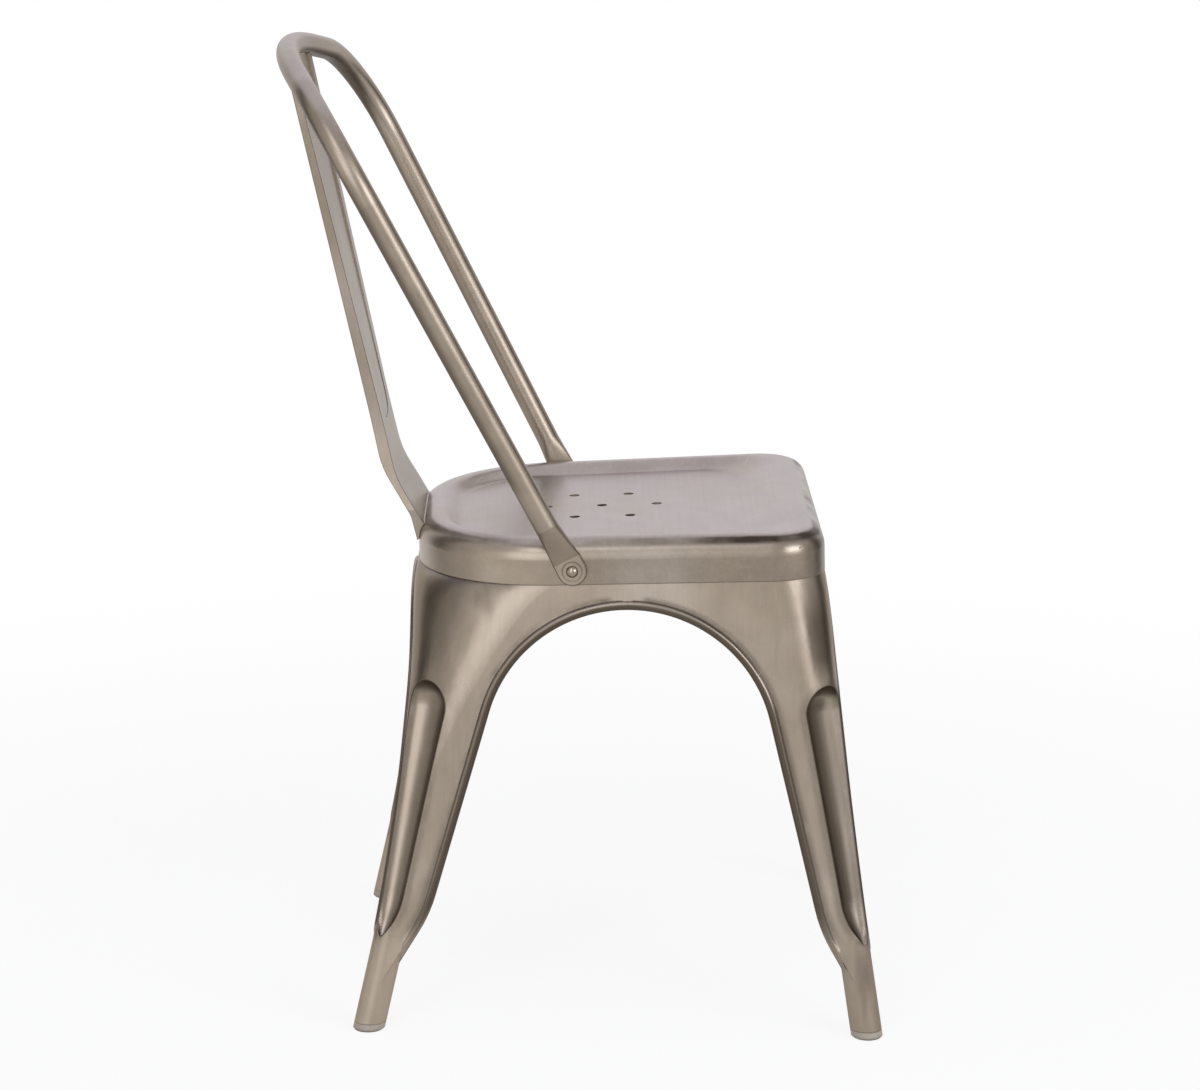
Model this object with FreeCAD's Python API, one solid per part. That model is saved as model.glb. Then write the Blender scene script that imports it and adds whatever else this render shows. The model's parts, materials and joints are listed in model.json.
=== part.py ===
"""Stacking bistro chair in pressed sheet steel, built as separate named pieces.

Sizes in millimetres. The feet stand on Z = 0, the sitter faces -Y and the chair is even about X = 0.
Right and left are the sitter's: the right side is at -X.
"""
import math
import os
import FreeCAD
import Part

V = FreeCAD.Vector

# Place of the chair: middle of the four feet, measured from the middle of the whole depth
FEET_Y = -31.7

# Sheets, tubes and fits
SEAT_SHEET = 1.0
LEG_SHEET = 1.5
SPLAT_SHEET = 1.0
HOOP_WALL = 1.2
SKIRT_FIT = 0.2         # between the skirt and the aprons that stand inside it
SEAM = 0.1              # between two legs that are butted at an arch
PIN_FIT = 0.1           # round a rivet
WELD_FIT = 0.05         # between two pieces that are welded

# Cutting tools reach past the chair by these
REACH = 400.0           # to every side
UNDER = 60.0            # below the floor

# Seat pan
SEAT_HEIGHT = 437.6     # rim above the middle of the feet
SEAT_RAKE = 1.7         # degrees, front edge up
SEAT_HALF = 169.5       # half width at the middle of the feet
SIDE_TAPER = 0.055      # half width gained per millimetre towards the front
SEAT_FRONT = -178.7
SEAT_REAR = 175.5
CORNER_FRONT = 45.0
CORNER_REAR = 125.0
SKIRT = 39.0
RIM_ROLL = 17.0
DISH_DEPTH = 8.0
DISH_EDGE = 21.0        # from the outline to the top of the dish slope
DISH_SLOPE = 18.0       # run of the slope at the sides and the rear
DISH_SLOPE_FRONT = 46.0
DISH_RINGS = 6          # steps of the smooth slope
CORNER_DISH = 34.0
DRAIN_HOLE = 8.6
DRAIN_PITCH = 49.2
DRAIN_Y = 12.1

# Leg frame: four flared walls that turn into four legs
APRON = 20.0            # height of the apron inside the skirt
SIDE_FLARE = 0.089      # spread per millimetre downwards at the sides
FRONT_KNEE = 23.3       # how far the wall stands out from the seat's edge at KNEE_Z and on the floor
FRONT_FLOOR = 52.3
REAR_KNEE = 17.5
REAR_FLOOR = 56.5
FRONT_BROW = (4.0, 1.5)     # how far the wall stands out under the skirt, and how fast that fades
REAR_BROW = (5.0, 8.0)
KNEE_Z = 195.0
ANKLE_Z = 90.0
LEG_RINGS = 8           # outlines of the walls, drawn between the two heights below
HIGH_RING = 24.0        # under the skirt
LOW_RING_Z = 30.0
FOOT_TUBE = 27.4
FOOT_WALL = 2.2
TUBE_END = 8.0          # middle of the foot tube's sloped end, under the ankle
TUBE_LEAN = 1.4         # rise of that slope against its two sides
TUBE_PLUG = 12.0        # the bore ends this far under the ankle
FOOT_PROUD = 0.1        # how far the foot tube stands proud of the two walls
CORNER_FOOT = 13.4
CORNER_FADE_FRONT = 1.2
CORNER_FADE_REAR = 2.5

# Arches between the legs, on the middle line of their rolled edge
BEAD = 8.0
BEAD_SINK = 2.2         # the edge sinks into the wall by this much down to the floor
FRONT_ARCH_KNEE_Z = 98.0
REAR_ARCH_KNEE_Z = 108.0
ARCH_KNEE_ROUND = 130.0
FRONT_WINGS = (37.6, 33.3)      # width of the side wing and of the end wing at the knee of the arch
REAR_WINGS = (40.0, 32.5)
SIDE_ARCH_SHIFT = -6.4          # from the middle of the seat
SIDE_ARCH_WEB = 17.3            # sheet over the crown of the arch, under the skirt
SIDE_ARCH_SHOULDER = 48.1       # from the round of the arch to the edge of the seat
FRONT_ARCH_WEB = 12.6
FRONT_ARCH_SHOULDER = 40.5
REAR_ARCH_WEB = 22.6
REAR_ARCH_SHOULDER = 65.5
ARCH_END_Z = 36.0
ARCH_END_IN = 11.0      # end of the bead line, in from each wall

# Pressed groove down each leg corner
GROOVE_TOP_DROP = 111.6         # under the skirt
GROOVE_FOOT_Z = 123.0
GROOVE_FRONT = (23.0, 15.2)     # radius at the top and at the foot
GROOVE_REAR = (25.5, 14.3)
GROOVE_IN_TOP = 8.3             # centre line in from each wall
GROOVE_IN_FOOT = 4.6
GROOVE_TIP = 40.0               # length of the point under the foot

# Foot glides
GLIDE_TIP = 7.0
GLIDE_CHAMFER = 1.5
GLIDE_PLUG = 22.0
GLIDE_FIT = 0.15

# Back hoop
HOOP_TUBE = 20.0
HOOP_START = (11.5, 21.2, 14.4)     # round tube's end: out from the seat, behind the rivet, above the rim
HOOP_SHOULDER = (65.5, 68.5, 370.9)     # out from the seat, behind its rear edge, above the rim
HOOP_PEAK = (122.7, 412.0)      # behind the rear edge and above the rim
HOOP_SHOULDER_ROUND = 95.0
HOOP_CROWN_ROUND = 423.0
TAB_WIDTH = 25.0
TAB_THICK = 3.6
TAB_ABOVE = 11.0        # flat length above the rivet

# Rivets
RIVET_Y = 39.8
RIVET_UP = 12.6         # above the lower edge of the skirt
RIVET_SHANK = 6.0
RIVET_HEAD = 10.5
RIVET_DOME = 3.6
WASHER = 15.0
WASHER_THICK = 1.2
BORE_REACH = 20.0       # to both sides of the skirt
RIVET_TAIL = 9.5
RIVET_TAIL_THICK = 2.4
RIVET_TAIL_TAPER = 1.0
SPOT = 17.0             # coined round about the head
SPOT_DEPTH = 0.5

# Back splat: side profile of the sheet, behind the seat's rear edge and above its rim
SPLAT_TOP = (101.0, 405.4)      # inside the hoop's tube
SPLAT_BEND = (18.0, 31.4)
SPLAT_BEND_ROUND = 90.0
SPLAT_LANDING = (-10.5, -17.6)      # the face runs to the rim on the line to this point under it
FLANGE = 5.8
FLANGE_BEND = (30.8, 40.9)
FLANGE_BEND_ROUND = 80.0
FLANGE_HOOK = (5.5, -2.1)
FLANGE_HOOK_ROUND = 20.0
FLANGE_TIP = -25.6

# Back splat: outline from the front, with heights above the rim
SPLAT_HALF_TOP = 105.0
SPLAT_HALF_WAIST = 57.5
SPLAT_WAIST = 77.4
SPLAT_WAIST_ROUND = 160.0
SPLAT_HALF_RIM = 66.0
SPLAT_RIM = 2.4
SPLAT_HALF_TIP = 58.0
SPLAT_OVER = 20.0       # the outline runs past both ends of the sheet
PANEL_MARGIN = 24.0
PANEL_DEPTH = (3.0, 0.4)        # at the top and at the foot
PANEL_FOOT = 75.4
PANEL_ROUND = 24.0

# Cross brace under the seat
BRACE_WIDTH = 25.0
BRACE_THICK = 2.0
BRACE_DROP = 2.0        # below the underside of the dish
BRACE_TAB = 20.0

RAKE = FreeCAD.Rotation(V(1, 0, 0), -SEAT_RAKE)
SEAT_PLACE = FreeCAD.Placement(V(0, 0, SEAT_HEIGHT), RAKE)
SKIRT_Z = SEAT_HEIGHT - SKIRT
SIDE_ARCH_Y = (SEAT_FRONT + SEAT_REAR) / 2 + SIDE_ARCH_SHIFT


def rounded(points, radii, closed=False):
    """Wire through the points with a tangent arc of the given radius at each of them."""
    count = len(points)
    corners = []
    for i, point in enumerate(points):
        if radii[i] == 0 or (not closed and i in (0, count - 1)):
            corners.append((point, None, point))
            continue
        to_last = (points[i - 1] - point).normalize()
        to_next = (points[(i + 1) % count] - point).normalize()
        half = to_last.getAngle(to_next) / 2
        reach = radii[i] / math.tan(half)
        middle = point + (to_last + to_next).normalize() * (radii[i] / math.sin(half) - radii[i])
        corners.append((point + to_last * reach, middle, point + to_next * reach))
    edges = []
    for i, (start, middle, end) in enumerate(corners):
        if middle is not None:
            edges.append(Part.Arc(start, middle, end).toShape())
        follows = corners[(i + 1) % count][0]
        if (closed or i < count - 1) and (follows - end).Length > 1e-4:
            edges.append(Part.makeLine(end, follows))
    return Part.Wire(edges)


def plan(half, front, rear, r_front, r_rear, z=0.0):
    """Rounded outline of the chair in plan, at height z."""
    half_front = half - SIDE_TAPER * front
    half_rear = half - SIDE_TAPER * rear
    corners = ((-half_front, front), (half_front, front), (half_rear, rear), (-half_rear, rear))
    return rounded([V(x, y, z) for x, y in corners], [r_front, r_front, r_rear, r_rear], True)


def seat_plan(inset, z=0.0):
    """Outline of the seat, moved inwards."""
    return plan(SEAT_HALF - inset, SEAT_FRONT + inset, SEAT_REAR - inset,
                CORNER_FRONT - inset, CORNER_REAR - inset, z)


def prism(wire, along):
    return Part.Face(wire).extrude(along)


def slab(bottom, top):
    """All the space between two heights."""
    return Part.makeBox(2 * REACH, 2 * REACH, top - bottom, V(-REACH, -REACH, bottom))


def mirrored(shape):
    return shape.mirror(V(0, 0, 0), V(1, 0, 0))


def largest(shape):
    return max(shape.Solids, key=lambda solid: solid.Volume)


def flat_edges(shape, z):
    """Edges that lie at height z."""
    return [e for e in shape.Edges if abs(e.BoundBox.ZMin - z) < 1e-3 and abs(e.BoundBox.ZMax - z) < 1e-3]


def dish(top):
    """Shallow dish that leaves the rim and reaches its floor without an edge."""
    rings = []
    for i in range(DISH_RINGS + 1):
        share = i / DISH_RINGS
        inset = DISH_EDGE + DISH_SLOPE * share
        front = SEAT_FRONT + DISH_EDGE + DISH_SLOPE_FRONT * share
        z = top - DISH_DEPTH * (1 - math.cos(math.pi * share)) / 2
        rings.append(plan(SEAT_HALF - inset, front, SEAT_REAR - inset, CORNER_DISH, CORNER_REAR - inset, z))
    return Part.makeLoft(rings, True, False)


def seat_form(inset):
    """Solid under the seat's skin; with an inset it is the form under the sheet."""
    body = prism(seat_plan(inset, -SKIRT), V(0, 0, SKIRT - inset))
    body = body.makeFillet(RIM_ROLL - inset, flat_edges(body, -inset))
    return body.cut(dish(-inset))


def drain_holes():
    """Seven holes: one in the middle and six round it."""
    spots = [V(0, DRAIN_Y, -SKIRT)]
    for i in range(6):
        turn = math.radians(60 * i + 90)
        spots.append(V(DRAIN_PITCH * math.cos(turn), DRAIN_Y + DRAIN_PITCH * math.sin(turn), -SKIRT))
    return [Part.makeCylinder(DRAIN_HOLE / 2, SKIRT, spot) for spot in spots]


def behind_seat(back, up, x=0.0):
    """Point behind the seat's rear edge and above its rim."""
    return V(x, SEAT_REAR + back, SEAT_HEIGHT + up)


def hoop_corners():
    """Right end of the hoop's round tube, its right shoulder and its peak."""
    out, back, up = HOOP_START
    start = V(-SEAT_HALF - out, RIVET_Y + back, SEAT_HEIGHT + up)
    out, back, up = HOOP_SHOULDER
    return start, behind_seat(back, up, -SEAT_HALF - out), behind_seat(*HOOP_PEAK)


def rivet_frame():
    """Placement at the right rivet: its Z leaves the seat's side, its Y runs up the hoop's tab."""
    outward = V(-1, SIDE_TAPER, 0).normalize()
    start, shoulder = hoop_corners()[:2]
    up = V(0, (shoulder.y - start.y) / (shoulder.z - start.z), 1)
    up = (up - outward * up.dot(outward)).normalize()
    side = up.cross(outward)
    foot = V(-(SEAT_HALF - SIDE_TAPER * RIVET_Y), RIVET_Y, -SKIRT + RIVET_UP)
    base = SEAT_PLACE.multVec(foot)
    matrix = FreeCAD.Matrix(side.x, up.x, outward.x, base.x, side.y, up.y, outward.y, base.y,
                            side.z, up.z, outward.z, base.z, 0, 0, 0, 1)
    return FreeCAD.Placement(matrix)


RIVET = rivet_frame()
STACK = SEAT_SHEET + SKIRT_FIT + LEG_SHEET      # skirt and apron together


def at_rivet(shape):
    moved = shape.copy()
    moved.Placement = RIVET.multiply(moved.Placement)
    return moved


def rivet_bore():
    return at_rivet(Part.makeCylinder(RIVET_SHANK / 2 + PIN_FIT, 2 * BORE_REACH, V(0, 0, -BORE_REACH)))


def seat_pan():
    pan = seat_form(0).cut(seat_form(SEAT_SHEET))
    pan = pan.cut(drain_holes())
    pan.Placement = SEAT_PLACE
    bore = rivet_bore()
    return pan.cut([bore, mirrored(bore)])


def wall_line(z, top, knee, floor):
    """Wall position at height z: a parabola through its places at the skirt, the knee and the floor."""
    a = (top - floor) / SKIRT_Z
    b = (knee - floor) / KNEE_Z
    bend = (a - b) / (SKIRT_Z - KNEE_Z)
    return floor + (b - bend * KNEE_Z) * z + bend * z * z


def brow(z, size):
    out, fade = size
    return out * (z / SKIRT_Z) ** fade


def front_wall(z):
    out = wall_line(z, -SEAT_SHEET - SKIRT_FIT, FRONT_KNEE, FRONT_FLOOR) + brow(z, FRONT_BROW)
    return SEAT_FRONT - out


def rear_wall(z):
    out = wall_line(z, -SEAT_SHEET - SKIRT_FIT, REAR_KNEE, REAR_FLOOR) + brow(z, REAR_BROW)
    return SEAT_REAR + out


def side_wall(y, z):
    """Half width over the right and left walls."""
    return SEAT_HALF - SEAT_SHEET - SKIRT_FIT - SIDE_TAPER * y + SIDE_FLARE * (SKIRT_Z - z)


def corner_radius(z, top, fade):
    rise = max(0.0, (z - ANKLE_Z) / (SKIRT_Z - ANKLE_Z))
    return CORNER_FOOT + (top - CORNER_FOOT) * rise ** fade


def frame_form(inset, sink=0.0):
    """Flared form of the leg frame below the skirt, with the apron that stands in the skirt."""
    gap = SEAT_SHEET + SKIRT_FIT
    apron = [seat_plan(gap + inset, -SKIRT), seat_plan(gap + inset, -SKIRT + APRON)]
    for wire in apron:
        wire.Placement = SEAT_PLACE
    levels = [apron[0]]
    highest = SKIRT_Z - HIGH_RING
    for i in range(LEG_RINGS):
        z = highest + (LOW_RING_Z - highest) * i / (LEG_RINGS - 1)
        front = front_wall(z)
        rear = rear_wall(z)
        r_front = corner_radius(z, CORNER_FRONT - gap, CORNER_FADE_FRONT)
        r_rear = corner_radius(z, CORNER_REAR - gap, CORNER_FADE_REAR)
        deep = inset + sink * (1 - z / SKIRT_Z)
        half = side_wall(0, z) - deep
        levels.append(plan(half, front + deep, rear - deep, r_front - deep, r_rear - deep, z))
    walls = Part.makeLoft(levels, True, False)
    band = Part.makeLoft(apron, True, True)
    return walls, band


def arch_points(middle, crown, radius, knees, ends):
    """Corner points and radii of an arch in a wall's own plane, one side after the other."""
    points = []
    radii = []
    for sign, (knee, knee_z), end in zip((1, -1), knees, ends):
        wide = abs(knee - middle)
        deep = crown - radius - knee_z
        slope = math.atan2(wide, deep) - math.asin(radius / math.hypot(wide, deep))
        apex = radius * (1 - math.sin(slope)) / math.cos(slope)
        side = [(end, ARCH_END_Z), (knee, knee_z), (middle + sign * apex, crown)]
        turn = [0, ARCH_KNEE_ROUND, radius]
        points += side if sign > 0 else side[::-1]
        radii += turn if sign > 0 else turn[::-1]
    return points, radii


def arch(corners, place):
    """Bead line of an arch and the outline of the opening under it; place maps the plane to space."""
    points, radii = corners
    line = [place(u, v) for u, v in points]
    floor = [place(points[-1][0], -UNDER), place(points[0][0], -UNDER)]
    return rounded(line, radii), rounded(line + floor, radii + [0, 0], True)


def side_place(u, v):
    """Point of the bead's plane in the right wall: u towards the rear, v up the wall."""
    along = V(SIDE_TAPER, 1, 0).normalize()
    up = V(SIDE_FLARE - BEAD_SINK / SKIRT_Z, 0, 1)
    up = (up - along * up.dot(along)).normalize()
    return V(LEG_SHEET / 2 + BEAD_SINK - side_wall(0, 0), 0, 0) + along * u + up * v


def pipe(path, radius):
    """Round bar along a wire."""
    start = path.Edges[0]
    first = start.FirstParameter
    ring = Part.Wire(Part.makeCircle(radius, start.valueAt(first), start.tangentAt(first)))
    return path.makePipeShell([ring], True, False)


def leg_point(rear, z, inset):
    """Point in from both walls at a right-hand corner."""
    y = rear_wall(z) - inset if rear else front_wall(z) + inset
    return V(inset - side_wall(y, z), y, z)


def groove(rear, grow):
    """Taper with a round top and a pointed foot that presses the groove; grown for the sheet's inner face."""
    r_top, r_foot = [radius + grow for radius in (GROOVE_REAR if rear else GROOVE_FRONT)]
    foot = leg_point(rear, GROOVE_FOOT_Z, GROOVE_IN_FOOT)
    axis = leg_point(rear, SKIRT_Z - GROOVE_TOP_DROP, GROOVE_IN_TOP) - foot
    tilt = math.asin((r_top - r_foot) / axis.Length)
    outward = V(math.cos(tilt), 0, -math.sin(tilt))
    start = outward * r_foot
    tip = V(0, 0, -GROOVE_TIP - 2 * grow)
    chord = tip - start
    bow = -chord.dot(chord) / (2 * outward.dot(chord))
    centre = start - outward * bow
    point = centre + ((start - centre) + (tip - centre)).normalize() * bow
    top = V(0, 0, axis.Length)
    crest = top + V(0, 0, r_top)
    round_top = top + (outward + V(0, 0, 1)).normalize() * r_top
    end = top + outward * r_top
    edges = [Part.Arc(tip, point, start).toShape(), Part.makeLine(start, end),
             Part.Arc(end, round_top, crest).toShape(), Part.makeLine(crest, tip)]
    tool = Part.Face(Part.Wire(edges)).revolve(V(0, 0, 0), V(0, 0, 1), 360)
    tool = Part.Solid(tool) if tool.ShapeType == "Shell" else tool
    tool.Placement = FreeCAD.Placement(foot, FreeCAD.Rotation(V(0, 0, 1), axis))
    return tool


def side_arch():
    """Bead line of the arch in the right wall and the solid of its opening."""
    ends = [leg_point(rear, ARCH_END_Z, ARCH_END_IN).y for rear in (True, False)]
    knees = [(leg_point(True, REAR_ARCH_KNEE_Z, REAR_WINGS[0]).y, REAR_ARCH_KNEE_Z),
             (leg_point(False, FRONT_ARCH_KNEE_Z, FRONT_WINGS[0]).y, FRONT_ARCH_KNEE_Z)]
    radius = (SEAT_REAR - SEAT_FRONT) / 2 - SIDE_ARCH_SHOULDER
    corners = arch_points(SIDE_ARCH_Y, SKIRT_Z - SIDE_ARCH_WEB, radius, knees, ends)
    path, outline = arch(corners, side_place)
    across = Part.Face(outline).normalAt(0, 0) * 3 * BEAD
    outline.translate(across * -0.5)
    return path, prism(outline, across)


def end_arch(rear):
    """Bead line of the front or rear arch, laid on the middle of the curved wall, and its opening."""
    if rear:
        web, shoulder, knee_z, wing = REAR_ARCH_WEB, REAR_ARCH_SHOULDER, REAR_ARCH_KNEE_Z, REAR_WINGS[1]
    else:
        web, shoulder, knee_z, wing = FRONT_ARCH_WEB, FRONT_ARCH_SHOULDER, FRONT_ARCH_KNEE_Z, FRONT_WINGS[1]
    half = -leg_point(rear, ARCH_END_Z, ARCH_END_IN).x
    knee = -leg_point(rear, knee_z, wing).x
    knees = ((knee, knee_z), (-knee, knee_z))
    corners = arch_points(0, SKIRT_Z - web, SEAT_HALF - shoulder, knees, (half, -half))
    out = V(0, 1 if rear else -1, 0)
    line, outline = arch(corners, lambda u, v: V(u, 0, v) + out * REACH)
    walls = frame_form(LEG_SHEET / 2, BEAD_SINK)[0]
    skins = [face for face in walls.Faces if isinstance(face.Surface, Part.BSplineSurface)]
    skins = [face for face in skins if face.CenterOfMass.dot(out) > SEAT_REAR / 3]
    laid = Part.makeCompound(skins).makeParallelProjection(line, out * -1)
    path = Part.Wire(Part.sortEdges(laid.Edges)[0])
    inner = (SEAT_REAR if rear else -SEAT_FRONT) - 3 * BEAD
    return path, prism(outline, out * (inner - REACH))


def quarter(rear):
    """Space of one right-hand leg."""
    low = SIDE_ARCH_Y + SEAM / 2 if rear else -REACH
    high = REACH if rear else SIDE_ARCH_Y - SEAM / 2
    return Part.makeBox(REACH, high - low, 2 * REACH, V(-REACH - SEAM / 2, low, -UNDER))


def foot_axis(rear):
    inset = FOOT_TUBE / 2 - FOOT_PROUD
    low = leg_point(rear, 0, inset)
    return low, (leg_point(rear, ANKLE_Z, inset) - low).normalize()


def foot_bar(rear, radius, bottom, top):
    """Round bar along the foot, cut level at the bottom and at the top."""
    low, axis = foot_axis(rear)
    bar = Part.makeCylinder(radius, ANKLE_Z + 2 * UNDER, low - axis * UNDER, axis)
    return bar.common(slab(bottom, top))


def foot_block(rear, wide, deep):
    """Block along the foot, in which a rolled edge is trimmed where it meets the foot tube."""
    low, axis = foot_axis(rear)
    block = Part.makeBox(wide, deep, ANKLE_Z + UNDER, V(-wide / 2, -deep / 2, -UNDER))
    block.Placement = FreeCAD.Placement(low, FreeCAD.Rotation(V(0, 0, 1), axis))
    return block


def foot_tube(rear):
    """Solid foot with a sloped upper end that runs into the wings."""
    low, axis = foot_axis(rear)
    slope = FreeCAD.Rotation(V(0, 0, 1), V(1, -1 if rear else 1, TUBE_LEAN))
    above = slab(0, REACH)
    above.Placement = FreeCAD.Placement(low + axis * (ANKLE_Z - TUBE_END), slope)
    return foot_bar(rear, FOOT_TUBE / 2, GLIDE_TIP, ANKLE_Z + UNDER / 2).cut(above)


def leg(rear):
    """Right-hand leg: two wings with rolled edges, a grooved corner and a rolled foot."""
    space = quarter(rear)
    forms = []
    for inset in (0, LEG_SHEET):
        walls, band = frame_form(inset)
        form = walls.fuse(band).common(space)
        forms.append(form.cut(groove(rear, inset)))
    sheet = forms[0].cut(forms[1])
    side_path, side_opening = side_arch()
    end_path, end_opening = end_arch(rear)
    sheet = sheet.cut([side_opening, end_opening])
    slim = FOOT_TUBE - LEG_SHEET
    wide = 3 * FOOT_TUBE
    beads = []
    for path, block in ((side_path, foot_block(rear, wide, slim)), (end_path, foot_block(rear, slim, wide))):
        beads.append(pipe(path, BEAD / 2).common(space).cut(block))
    body = sheet.fuse(beads + [foot_tube(rear)])
    bore = foot_bar(rear, FOOT_TUBE / 2 - FOOT_WALL, -UNDER / 2, ANKLE_Z - TUBE_PLUG)
    body = body.cut([bore, groove(rear, 0), slab(-UNDER, GLIDE_TIP)])
    if rear:
        body = body.cut(rivet_bore())
    return largest(body)


def foot_glide(rear):
    """Plug in the foot tube with a chamfered tip under it."""
    tip = foot_bar(rear, FOOT_TUBE / 2, 0, GLIDE_TIP - WELD_FIT)
    tip = tip.makeChamfer(GLIDE_CHAMFER, flat_edges(tip, 0))
    plug = foot_bar(rear, FOOT_TUBE / 2 - FOOT_WALL - GLIDE_FIT, GLIDE_TIP / 2, GLIDE_TIP + GLIDE_PLUG)
    return tip.fuse(plug).removeSplitter()


def hoop_path():
    start, shoulder, peak = hoop_corners()
    points = [start, shoulder, peak, V(-shoulder.x, shoulder.y, shoulder.z), V(-start.x, start.y, start.z)]
    return rounded(points, [0, HOOP_SHOULDER_ROUND, HOOP_CROWN_ROUND, HOOP_SHOULDER_ROUND, 0])


def squeezed(radius, width, thick):
    """Solid that turns the right end of the round tube into the flat of its tab."""
    start, shoulder = hoop_corners()[:2]
    axis = (shoulder - start).normalize()
    across = RIVET.Rotation.multVec(V(1, 0, 0))
    across = (across - axis * across.dot(axis)).normalize()
    out = across.cross(axis)
    arcs = []
    flats = []
    middle = V(0, TAB_ABOVE, WELD_FIT + TAB_THICK / 2)
    corners = [V(1, 0, -1), V(1, 0, 1), V(-1, 0, 1), V(-1, 0, -1)]
    for i in range(4):
        spots = []
        for turn in (-45, 0, 45):
            a = math.radians(90 * i + turn)
            spots.append(start + across * radius * math.cos(a) + out * radius * math.sin(a))
        arcs.append(Part.Arc(*spots).toShape())
        ends = [corners[i], corners[(i + 1) % 4]]
        ends = [RIVET.multVec(middle + V(c.x * width / 2, 0, c.z * thick / 2)) for c in ends]
        flats.append(Part.makeLine(*ends))
    return Part.makeLoft([Part.Wire(arcs), Part.Wire(flats)], True, True)


def hoop_tab():
    """Flattened right end of the hoop, round about the rivet."""
    half = TAB_WIDTH / 2
    corner = [V(half, 0, 0), V(half, TAB_ABOVE, 0), V(-half, TAB_ABOVE, 0), V(-half, 0, 0)]
    edges = [Part.makeLine(corner[i], corner[i + 1]) for i in range(3)]
    edges.append(Part.Arc(corner[3], V(0, -half, 0), corner[0]).toShape())
    tab = prism(Part.Wire(edges), V(0, 0, TAB_THICK))
    tab = tab.cut(Part.makeCylinder(SPOT / 2, SPOT_DEPTH, V(0, 0, TAB_THICK - SPOT_DEPTH)))
    tab.translate(V(0, 0, WELD_FIT))
    tab = at_rivet(tab)
    radius = HOOP_TUBE / 2
    neck = squeezed(radius, TAB_WIDTH, TAB_THICK)
    hollow = squeezed(radius - HOOP_WALL, TAB_WIDTH - 4 * HOOP_WALL, TAB_THICK - 2 * HOOP_WALL)
    return tab.fuse(neck.cut(hollow)).cut(rivet_bore())


def back_hoop():
    path = hoop_path()
    tube = pipe(path, HOOP_TUBE / 2).cut(pipe(path, HOOP_TUBE / 2 - HOOP_WALL))
    tab = hoop_tab()
    return largest(tube.fuse([tab, mirrored(tab)]))


def dome(width, height):
    radius = (height * height + width * width / 4) / (2 * height)
    ball = Part.makeSphere(radius, V(0, 0, height - radius))
    return ball.common(Part.makeBox(2 * width, 2 * width, height, V(-width, -width, 0)))


def hoop_rivet():
    """Right rivet: domed head on the tab, shank through tab, skirt and apron, closed end on its washer."""
    head_z = WELD_FIT + TAB_THICK - SPOT_DEPTH + WELD_FIT
    tail_z = -STACK - WELD_FIT - WASHER_THICK - WELD_FIT
    head = dome(RIVET_HEAD, RIVET_DOME)
    head.translate(V(0, 0, head_z))
    shank = Part.makeCylinder(RIVET_SHANK / 2, head_z - tail_z, V(0, 0, tail_z))
    tail = Part.makeCone(RIVET_TAIL / 2 - RIVET_TAIL_TAPER, RIVET_TAIL / 2, RIVET_TAIL_THICK,
                         V(0, 0, tail_z - RIVET_TAIL_THICK))
    return at_rivet(shank.fuse([head, tail]).removeSplitter())


def rivet_washer():
    base = V(0, 0, -STACK - WELD_FIT - WASHER_THICK)
    ring = Part.makeCylinder(WASHER / 2, WASHER_THICK, base)
    return at_rivet(ring.cut(Part.makeCylinder(RIVET_SHANK / 2 + PIN_FIT, WASHER_THICK, base)))


def side_strip(front, rear):
    """Plate between two side profiles, wider than the splat."""
    ends = [(front.Edges[0].firstVertex().Point, rear.Edges[0].firstVertex().Point),
            (front.Edges[-1].lastVertex().Point, rear.Edges[-1].lastVertex().Point)]
    edges = front.Edges + rear.Edges + [Part.makeLine(*pair) for pair in ends]
    outline = Part.Wire(Part.sortEdges(edges)[0])
    outline.translate(V(-REACH, 0, 0))
    return prism(outline, V(2 * REACH, 0, 0))


def splat_leans():
    """Angles of the splat's face from upright, above and below its bend."""
    spots = (SPLAT_TOP, SPLAT_BEND, SPLAT_LANDING)
    return [math.atan2(high[0] - low[0], high[1] - low[1]) for high, low in zip(spots, spots[1:])]


def splat_line(back):
    """Side profile of the splat's face down to the seat, moved back square to the face."""
    lean, low = splat_leans()
    turn = (low - lean) / 2
    moves = ((SPLAT_TOP, lean, back), (SPLAT_BEND, lean + turn, back / math.cos(turn)),
             (SPLAT_LANDING, low, back))
    points = []
    for (y, z), slope, far in moves:
        points.append(behind_seat(y + far * math.cos(slope), z - far * math.sin(slope)))
    return rounded(points, [0, SPLAT_BEND_ROUND, 0])


def panel_line(top, foot):
    """Straight side profile behind the splat's face by the two depths, run past the panel's foot."""
    lean = splat_leans()[0]
    back = V(0, math.cos(lean), -math.sin(lean))
    high = behind_seat(*SPLAT_TOP)
    low = behind_seat(SPLAT_TOP[0] - (SPLAT_TOP[1] - PANEL_FOOT) * math.tan(lean), PANEL_FOOT)
    high = high + back * top
    low = low + back * foot
    past = low + (low - high).normalize() * SPLAT_OVER
    return rounded([high, past], [0, 0])


def flange_line():
    """Rear edge of the side flanges, which run out in a tip behind the seat."""
    lean = splat_leans()[0]
    top = behind_seat(SPLAT_TOP[0] + FLANGE * math.cos(lean), SPLAT_TOP[1] - FLANGE * math.sin(lean))
    points = [top, behind_seat(*FLANGE_BEND), behind_seat(*FLANGE_HOOK), behind_seat(0, FLANGE_TIP)]
    return rounded(points, [0, FLANGE_BEND_ROUND, FLANGE_HOOK_ROUND, 0])


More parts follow.
